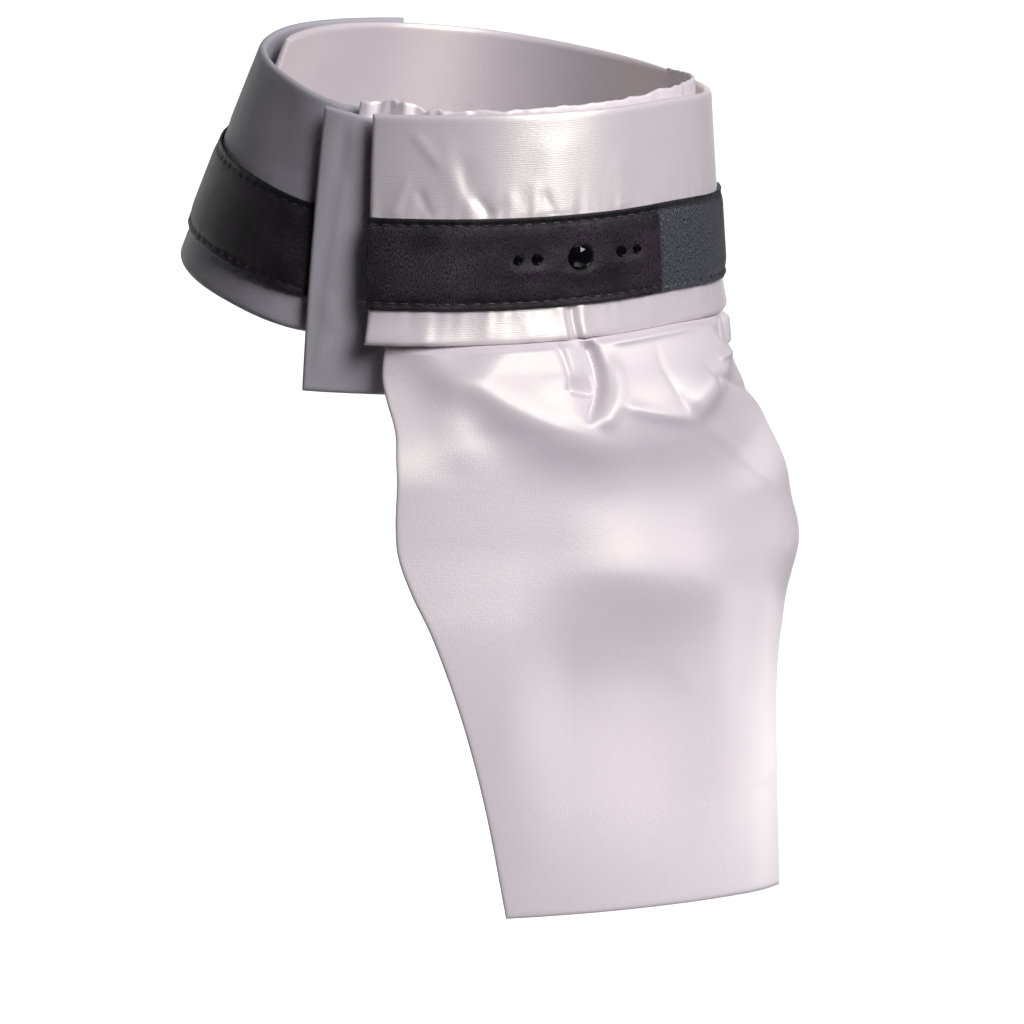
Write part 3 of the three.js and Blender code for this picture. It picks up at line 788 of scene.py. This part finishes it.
size = add(stitch_tree, "ShaderNodeCombineXYZ", {
    "X": given.outputs["Stitch Length"], "Y": given.outputs["Thread Width"],
    "Z": given.outputs["Thread Width"],
})
least = add(stitch_tree, "ShaderNodeMath", {
    0: 1, 1: given.outputs["Unevenness"],
}, operation="SUBTRACT")
uneven = add(stitch_tree, "FunctionNodeRandomValue", {
    2: least.outputs[0], 3: 1, "Seed": 4,
}, data_type="FLOAT")
scaled = add(stitch_tree, "ShaderNodeVectorMath", {
    0: size.outputs[0], "Scale": uneven.outputs[1],
}, operation="SCALE")
placed = add(stitch_tree, "GeometryNodeInstanceOnPoints", {
    "Points": marks.outputs[0], "Instance": dash.outputs[0], "Rotation": facing.outputs[0],
    "Scale": scaled.outputs[0],
})
real = add(stitch_tree, "GeometryNodeRealizeInstances", {"Geometry": placed.outputs[0]})
coloured = add(stitch_tree, "GeometryNodeSetMaterial", {
    "Geometry": real.outputs[0], "Material": thread,
})
add(stitch_tree, "NodeGroupOutput", {"Stitches": coloured.outputs[0]})
stitch_inputs = {
    item.name: item.identifier for item in stitch_tree.interface.items_tree
    if item.in_out == "INPUT"
}


def sew(name, lines):
    """A plain mesh of stitches along seam lines, each a list of points in mm."""
    points = np.concatenate(lines)
    starts = np.cumsum([0] + [len(line) for line in lines])
    edges = [(i, i + 1) for a, b in zip(starts[:-1], starts[1:]) for i in range(a, b - 1)]
    guide_mesh = bpy.data.meshes.new(name)
    guide_mesh.from_pydata((points * MM).tolist(), edges, [])
    piece = bpy.data.objects.new(name, guide_mesh)
    scene.collection.objects.link(piece)
    sewing = piece.modifiers.new("running stitch", "NODES")
    sewing.node_group = stitch_tree
    sewing[stitch_inputs["Pitch"]] = STITCH_PITCH * MM
    sewing[stitch_inputs["Stitch Length"]] = STITCH_LENGTH * MM
    sewing[stitch_inputs["Thread Width"]] = STITCH_WIDTH * MM
    sewing[stitch_inputs["Unevenness"]] = STITCH_UNEVENNESS
    evaluated = piece.evaluated_get(bpy.context.evaluated_depsgraph_get())
    sewn = bpy.data.meshes.new_from_object(evaluated)
    piece.modifiers.clear()
    piece.data = sewn
    sewn.polygons.foreach_set("use_smooth", [True] * len(sewn.polygons))
    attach(piece, "root")
    return piece


def seam_lines(table, rise, start, end):
    """Lines along a ribbon's two grooves, where the thread lies half sunk in its face."""
    seams = []
    for side in (-1, 1):
        up = RIBBON_MIDDLE + side * (RIBBON_HALF - RIBBON_GROOVE)
        angle_row, up_row = np.meshgrid(
            np.arange(start, end, SEAM_STEP), [up - SEAM_MARGIN, up, up + SEAM_MARGIN],
        )
        seams.append(raised(table, angle_row, up_row, rise(angle_row, up_row) + THREAD_PROUD)[1])
    return seams


over_stitches = sew("over_ribbon_stitches", seam_lines(
    OVER_BAND, over_ribbon_rise, OVER_START + SEAM_FREE_INSET, OVER_RIBBON_END - SEAM_INSET,
))
under_stitches = sew("under_ribbon_stitches", seam_lines(
    UNDER_BAND, under_ribbon_rise, UNDER_RIBBON_START + SEAM_INSET, UNDER_RIBBON_END - SEAM_INSET,
))
finish_sheet(
    over_ribbon, "black_ribbon", "over_ribbon", flat=(0.218, 0.02), held="laid",
    rests_on=["over_band"], with_pieces=[over_stitches],
)
finish_sheet(
    under_ribbon, "black_ribbon", "under_ribbon", flat=(0.121, 0.02), held="laid",
    rests_on=["under_band"], with_pieces=[under_stitches],
)

# The five stones are flat-backed cut glass, black and polished, pressed into the ribbon in a row: a
# large one in the middle of two medium and two small ones.
STONE_BACK = 0.95
FACET_TOLERANCE = math.radians(0.5)
# The flat top and the ring of corners below it, as shares of the stone's radius, and the upright
# girdle and that ring, as shares of its height.
TABLE_SHARE = 0.56
STAR_SHARE = 0.8
GIRDLE_SHARE = 0.3
STAR_HEIGHT_SHARE = 0.74

# Black glass, ground and polished: a deep, clear black with small hard glints.
POLISH_PATCH = 1.111
black_glass, tree = new_material("black cut glass")
object_place = add(tree, "ShaderNodeTexCoord", {})
polish = add(tree, "ShaderNodeTexNoise", {
    "Vector": object_place.outputs["Object"], "Scale": per_metre(POLISH_PATCH),
})
rough = add(tree, "ShaderNodeMapRange", {
    "Value": polish.outputs[0], "To Min": 0.03, "To Max": 0.08,
})
tint = add(tree, "ShaderNodeMix", {
    0: polish.outputs[0], 6: linear("#050507"), 7: linear("#0c0b0f"),
}, data_type="RGBA")
shader = add(tree, "ShaderNodeBsdfPrincipled", {
    "Base Color": tint.outputs[2], "Roughness": rough.outputs[0], "IOR": 1.56,
    "Specular IOR Level": 0.6,
})
add(tree, "ShaderNodeOutputMaterial", {"Surface": shader.outputs[0]})


def ring(count, turn, radius, height):
    """Points of one ring of a cut stone, in mm."""
    angles = 2 * math.pi * (np.arange(count) + turn) / count
    return [(radius * math.cos(a), radius * math.sin(a), height) for a in angles]


def stone_spot(angle, up):
    """Where a stone's flat back rests in the ribbon, in mm."""
    return on_band(OVER_BAND, np.array([angle]), np.array([up]), -STONE_BACK)[0]


for name, turn, diameter, height, facets in STONES:
    radius = diameter / 2
    angle = ORNAMENT_ANGLE + turn
    seat = stone_spot(angle, ORNAMENT_UP)
    beside = unit(stone_spot(angle + 1, ORNAMENT_UP) - seat)
    outward = unit(np.cross(beside, stone_spot(angle, ORNAMENT_UP + 1) - seat))
    upward = np.cross(outward, beside)
    points = (
        ring(2 * facets, 0, radius, 0) + ring(2 * facets, 0, radius, height * GIRDLE_SHARE)
        + ring(facets, 0.5, radius * STAR_SHARE, height * STAR_HEIGHT_SHARE)
        + ring(facets, 0, radius * TABLE_SHARE, height)
    )
    cut = bmesh.new()
    for across, up, out in points:
        cut.verts.new((seat + beside * across + upward * up + outward * out) * MM)
    bmesh.ops.convex_hull(cut, input=cut.verts)
    bmesh.ops.dissolve_limit(
        cut, angle_limit=FACET_TOLERANCE, verts=cut.verts, edges=cut.edges,
    )
    bmesh.ops.recalc_face_normals(cut, faces=cut.faces)
    stone_mesh = bpy.data.meshes.new(name + "_cut")
    cut.to_mesh(stone_mesh)
    cut.free()
    stone_mesh.materials.append(black_glass)
    stone = bpy.data.objects.new(name + "_cut", stone_mesh)
    scene.collection.objects.link(stone)
    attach(stone, "root")
    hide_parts(name)

# The lining is thin satin behind the front, caught in the bands' seams. Its rim crumples above the
# collar, and its lower corner on the wearer's left turns out below it.
LINING = {
    "angle": [-62, -56, -50, -44, -30, -12, 10, 30, 48, 52, 58, 70, 80],
    "inward": [4.3, 5.2, 5.7, 5.9, 4.8, 3.9, 3.8, 3.8, 3.8, 3.8, 3.8, 3.8, 3.8],
    "top": [26.5, 27.4, 26.4, 25.4, 25, 25.4, 25.6, 26.6, 27.2, 27.2, 27.4, 27, 26.4],
    "bottom": [-31, -32, -32, -31, -30, -30, -30, -32, -33.6, -33.8, -34, -33.6, -33],
    "kick": [0, 0, 0, 0, 0, 0, 0, 0, 0, 1.2, 4.8, 4.4, 2.4],
}
LINING_START = -62
LINING_END = 80
LINING_KICK_REACH = 3.5
LINING_WALL = 1
LINING_RIM = 0.8
LINING_HEIGHT = 58
LINING_COLUMNS = (270,)
LINING_ROWS = (66,)
# Crumples of the rim, as (wavelength in degrees, phase, height in mm).
CRUMPLES = [(23, 0.3, 0.35), (13, 1.1, 0.42), (8.3, 2.6, 0.34), (5.1, 0.4, 0.2), (3.1, 1.9, 0.12)]
CRUMPLE_REACH = 0.16
CRUMPLE_LEAST = 0.35
CRUMPLE_START = -30
CRUMPLE_BLEND = 14
CRUMPLE_LIFT = 0.7
CRUMPLE_LIFT_RATE = 1.3


def band_radius(table, angle, height):
    """The radius of a band's outer face at an absolute height."""
    up = height - read(table, "middle", angle)
    return read(table, "radius", angle) - read(table, "closing", angle) * up


# Thin polyester satin, left soft: a quieter gloss than the band's, with floats running up the cloth.
lining_satin = satin(
    "thin lining satin", BRIGHT_SATIN,
    floats="up", rib=0.02, index=1.7, roughness=0.44, stretch=0.3, turn=0.25,
)
angle_grid, share_grid = np.meshgrid(
    rim_steps((LINING_START, LINING_END), LINING_COLUMNS, LINING_RIM),
    rim_steps((0, 1), LINING_ROWS, LINING_RIM / LINING_HEIGHT),
)
lean = sum(h * np.sin(2 * np.pi * angle_grid / w + p) for w, p, h in CRUMPLES)
lift = sum(
    h * np.sin(2 * np.pi * angle_grid / w * CRUMPLE_LIFT_RATE + 2 * p) for w, p, h in CRUMPLES
)
gathered = smooth((CRUMPLE_START - angle_grid) / CRUMPLE_BLEND)
near_top = smooth((share_grid - 1 + CRUMPLE_REACH) / CRUMPLE_REACH)
near_top = near_top * (CRUMPLE_LEAST + (1 - CRUMPLE_LEAST) * gathered)
middle_line = read(OVER_BAND, "middle", angle_grid)
bottom = read(LINING, "bottom", angle_grid)
top = read(LINING, "top", angle_grid)
crumple = CRUMPLE_LIFT * lift * near_top
height_grid = bottom + (top - bottom) * share_grid + middle_line + crumple
below = middle_line - BAND_HALF - height_grid
kick = read(LINING, "kick", angle_grid) * smooth(below / LINING_KICK_REACH)
radius_grid = (
    band_radius(OVER_BAND, angle_grid, height_grid) - read(LINING, "inward", angle_grid) + kick
    + lean * near_top
)
lining_cloth = cloth(
    "lining_gathered", round_collar(angle_grid, height_grid, radius_grid), LINING_WALL, LINING_RIM,
    lining_satin,
)
finish_sheet(
    lining_cloth, "lining_satin", "lining_cloth", flat=(0.132, 0.06), held="gathered",
    rests_on=["under_band"],
)

# The side flap is a folded strip of the same twill as the under band, let in beside the over band's
# free end. Its folded edge stands off a little and its top is cut on a slope.
FLAP = {
    "angle": [-70, -66, -62, -54, -44],
    "inward": [0.8, 1.4, 2.3, 3.6, 3.9],
    "top": [25.6, 25.2, 24.6, 23, 22],
}
FLAP_START = -67.3
FLAP_END = -44
FLAP_BOTTOM = -36.8
FLAP_WALL = 1.5
FLAP_RIM = 1
FLAP_WIDTH = 24
FLAP_HEIGHT = 62
FLAP_COLUMNS = (56,)
FLAP_ROWS = (110,)
FLAP_FOLDS = [
    [(-61.5, 24), (-61.2, 0), (-60.4, -36), 0.22, (1.8, 3.2), (0.1, 0.1), 2],
    [(-64, 24), (-63, 14), (-60, 6), -0.18, (2.2, 2.2), (0.3, 0.4), 2],
    [(-62, -14), (-60, -20), (-57, -24), 0.18, (2, 2), (0.4, 0.3), 2],
]

share_grid, level_grid = np.meshgrid(
    rim_steps((0, 1), FLAP_COLUMNS, FLAP_RIM / FLAP_WIDTH),
    rim_steps((0, 1), FLAP_ROWS, FLAP_RIM / FLAP_HEIGHT),
)
upright = FLAP_START + (FLAP_END - FLAP_START) * share_grid
up_grid = FLAP_BOTTOM + (read(FLAP, "top", upright) - FLAP_BOTTOM) * level_grid
start_grid = FLAP_START + FLAP_START_SLANT * up_grid
angle_grid = start_grid + (FLAP_END - start_grid) * share_grid
flap_outer = on_band(OVER_BAND, angle_grid, up_grid, read(FLAP, "inward", angle_grid))
flap_rise = fold_rise(FLAP_FOLDS, angle_grid, up_grid)
flap_outer = flap_outer + grid_normals(flap_outer) * flap_rise[..., None]
side_flap = cloth("side_flap_folded", flap_outer, FLAP_WALL, FLAP_RIM, lapped_cloth)
finish_sheet(
    side_flap, "lapped_cloth", "side_flap", flat=(0.023, 0.061), held="folded",
    rests_on=["lining_cloth"],
)

# The bib is one soft satin front, pleated into the inside of the over band's lower edge and left to
# hang. Deep slanting folds run down it from the seam, and its right edge rolls back.
BIB = {
    "drop": [0, 0.35, 0.8, 3, 8, 13, 17, 20, 24, 32, 40, 46, 54, 62, 72, 84, 100, 124],
    "forward": [
        0, 2, 2.4, 3.2, 4.5, 6, 7.2, 8, 9, 10.2, 11.5, 12.5, 14.2, 15.9, 17.6, 19.4, 21.6, 24.8,
    ],
    "bend": [57, 60, 64, 76, 92, 100, 104, 106, 108, 110, 112, 114, 116, 118, 120, 122, 124, 126],
    "left": [48, 48.2, 48.4, 49.2, 50.4, 50.7, 50.7, 51, 52, 53, 54, 54, 52, 49, 46, 43, 40, 37],
    "right": [
        49.5, 49.2, 48.8, 47, 44, 44, 45.5, 49, 49.3, 49.2, 50, 51.5, 50, 48, 43.8, 41, 39.3, 37.3,
    ],
}
BIB_TUCK = 12
BIB_SEAM_DROP = 0.06
BIB_HEM = 124
BIB_SETTLE = 32
BIB_ROLL = 2
BIB_ROLL_WIDTH = 12
BIB_ROLL_FROM = 20
BIB_INWARD = 2.1
BIB_WALL = 0.9
BIB_RIM = 0.9
BIB_WIDTH = 105
BIB_CREASED_TO = 24
BIB_COLUMNS = (188,)
BIB_ROWS = (9, 90, 126)
BIB_STEP = 0.5
FOLD_FADE = 2.5
# The large folds, which the frame's solid has too, and then the small creases: the pleat at the
# seam, its pocket, and those near the seam and the right edge.
BIB_FOLDS = [
    [(-37, 1), (-26, 21), (6, 25), 4, (12, 6.5), (0.25, 0.4), 1.8],
    [(-16, 22), (14, 14.5), (60, 12), 4.8, (12, 11), (0.4, 0.5), 2],
    [(-22, 50), (4, 51), (38, 58), 2.9, (14, 8.5), (0.45, 0.35), 1.8],
    [(-34, 73), (-4, 77), (26, 80), -3.2, (15, 28), (0.3, 0.45), 2],
    [(46, 22), (53, 40), (50, 64), 3.5, (6, 15), (0.35, 0.35), 2],
    [(-38, -1), (-36, 14), (-40, 30), 1.2, (5, 6), (0.05, 0.4), 2],
    [(40, 7), (28, 13), (14, 22), 1.2, (3, 6), (0.15, 0.35), 2],
    [(-5.5, -1), (-1.5, 11), (-11.5, 19), -1.6, (1.2, 3.2), (0.05, 0.3), 2],
    [(-12, -1), (-12, 7), (-14, 16), 1, (3, 5), (0.05, 0.4), 2],
    [(-3, 15.2), (6, 19.2), (21, 21.4), 0.7, (1.6, 1.5), (0.3, 0.3), 1.8],
    [(-5.1, -1), (-0.4, 11.5), (-10.5, 19.4), -2.3, (0.8, 0.8), (0.03, 0.2), 1.6],
    [(-1.6, 3), (2.6, 12.5), (-7.5, 21), 0.8, (2, 1.5), (0.3, 0.15), 2],
    [(-12.8, -0.5), (-10, 7), (-12, 11.7), -1.2, (0.7, 0.9), (0.05, 0.05), 1.6],
    [(-12, 11.5), (-9, 11.9), (-5.6, 12.4), -1.9, (3, 0.7), (0.08, 0.08), 1.7],
    [(-2, 1.5), (12, 1.3), (30, 1.1), 0.9, (1, 1.4), (0.2, 0.3), 2],
    [(12.4, 1.7), (9.6, 11.2), (16.4, 19.8), -0.6, (1.2, 1.0), (0.5, 0.2), 1.6],
    [(25, 12.6), (20, 15.6), (16.4, 20.4), 0.8, (3, 3), (0.2, 0.3), 2],
    [(44.7, 1.4), (40, 4), (37.3, 6.4), -0.5, (0.6, 0.6), (0.05, 0.1), 1.8],
    [(29, 9.8), (37, 9.3), (46, 8.8), 0.6, (1.6, 0.7), (0.1, 0.1), 1.8],
    [(24.7, 13.2), (36, 14.8), (46, 17), -0.6, (1, 1), (0.1, 0.1), 1.6],
    [(16.5, 20.7), (31, 24), (46, 39.6), 0.3, (1.6, 1.2), (0.35, 0.1), 1.8],
    [(8, 69), (12, 74), (17, 80), 0.15, (3, 3), (0.4, 0.4), 2],
]


def bib_form(across, drop):
    """The bib's smooth form: a cone behind the band, then rows that settle into one broad bend."""
    seam = -BAND_HALF - BIB_SEAM_DROP
    tuck = on_band(OVER_BAND, across, seam - np.minimum(drop, 0), BIB_INWARD)
    centre = on_band(OVER_BAND, np.zeros_like(across), np.full_like(across, seam), BIB_INWARD)
    edge = on_band(OVER_BAND, across, np.full_like(across, seam), BIB_INWARD) - centre
    bend = read(BIB, "bend", drop)
    turn = across / bend
    rolled = np.maximum(0, across - read(BIB, "right", drop) + BIB_ROLL_WIDTH) / BIB_ROLL_WIDTH
    roll = BIB_ROLL * rolled**2 * smooth((drop - BIB_ROLL_FROM) / BIB_ROLL_FROM)
    row = np.stack([bend * np.sin(turn), bend * (1 - np.cos(turn)) + roll, 0 * turn], axis=-1)
    hang = np.stack([0 * turn, -read(BIB, "forward", drop), -np.maximum(drop, 0)], axis=-1)
    settled = smooth(drop / BIB_SETTLE)[..., None]
    hung = centre + hang + edge + (row - edge) * settled
    return np.where((drop <= 0)[..., None], tuck, hung)


# Soft polyester satin, not pressed: its tints are painted a little greyer than the band's, as
# painted shade over the whole bib; its gloss is duller, with floats that run down the cloth, so that
# its gloss spreads across the folds.
SHADE_GREYED_SATIN = ("#ddd3dc", "#d6ccd6")
bib_satin = satin(
    "soft polyester satin", SHADE_GREYED_SATIN,
    floats="up", rib=0.012, index=1.65, roughness=0.46, stretch=0.75, turn=0,
)
share_grid, drop_grid = np.meshgrid(
    rim_steps((0, 1), BIB_COLUMNS, BIB_RIM / BIB_WIDTH),
    rim_steps((-BIB_TUCK, 0, BIB_CREASED_TO, BIB_HEM), BIB_ROWS, BIB_RIM)[::-1],
)
left = read(BIB, "left", drop_grid)
right = read(BIB, "right", drop_grid)
across_grid = -left + (left + right) * share_grid
sideways = bib_form(across_grid + BIB_STEP, drop_grid) - bib_form(across_grid - BIB_STEP, drop_grid)
downward = bib_form(across_grid, drop_grid + BIB_STEP) - bib_form(across_grid, drop_grid - BIB_STEP)
bib_out = unit(np.cross(downward, sideways))
bib_rise = fold_rise(BIB_FOLDS, across_grid, drop_grid) * smooth(drop_grid / FOLD_FADE)
bib = cloth(
    "bib_draped", bib_form(across_grid, drop_grid) + bib_out * bib_rise[..., None],
    BIB_WALL, BIB_RIM, bib_satin, (across_grid, -drop_grid),
)
finish_sheet(
    bib, "white_satin", "bib", flat=(0.109, 0.146), held="hung", rests_on=["over_band"],
    area=0.0135,
)

# The back fastener is a pad of hook-and-loop tape between the lapped ends, sewn to the under band's
# inner face; its loops grip the over band.
PATCH_FROM = 178
PATCH_TO = 222
PATCH_HALF = 13
PATCH_RIM = 0.7
PATCH_INNER_CLEAR = 0.25
PATCH_OUTER_CLEAR = 0.35
PATCH_COLUMNS = (44,)
PATCH_ROWS = (26,)

# White nylon hook-and-loop tape: matt, with a dense nap of small loops.
LOOP_SIZE = 0.909
loop_tape, tree = new_material("nylon hook-and-loop tape")
cloth_uv = add(tree, "ShaderNodeUVMap", {}, uv_map="cloth")
loops = add(tree, "ShaderNodeTexVoronoi", {
    "Vector": cloth_uv.outputs[0], "Scale": per_metre(LOOP_SIZE),
})
tint = add(tree, "ShaderNodeMix", {
    0: loops.outputs[0], 6: linear("#efeeea"), 7: linear("#cfcdc8"),
}, data_type="RGBA")
bump = add(tree, "ShaderNodeBump", {
    "Height": loops.outputs[0], "Strength": 0.8, "Distance": 0.3 * MM,
})
shader = add(tree, "ShaderNodeBsdfPrincipled", {
    "Base Color": tint.outputs[2], "Normal": bump.outputs[0], "Roughness": 0.85,
    "Sheen Weight": 0.3,
})
add(tree, "ShaderNodeOutputMaterial", {"Surface": shader.outputs[0]})

angle_grid, height_grid = np.meshgrid(
    rim_steps((PATCH_FROM, PATCH_TO), PATCH_COLUMNS, PATCH_RIM),
    rim_steps((-PATCH_HALF, PATCH_HALF), PATCH_ROWS, PATCH_RIM),
)
patch_outer = band_radius(UNDER_BAND, angle_grid - 360, height_grid) - BAND_WALL - PATCH_OUTER_CLEAR
patch_inner = band_radius(OVER_BAND, angle_grid, height_grid) + PATCH_INNER_CLEAR
back_fastener = cloth(
    "back_fastener_tape", round_collar(angle_grid, height_grid, patch_outer),
    float((patch_outer - patch_inner).min()), PATCH_RIM, loop_tape,
)
finish_sheet(
    back_fastener, "hook_and_loop", "back_fastener", flat=(0.04, 0.026), held="laid",
    rests_on=["over_band"],
)
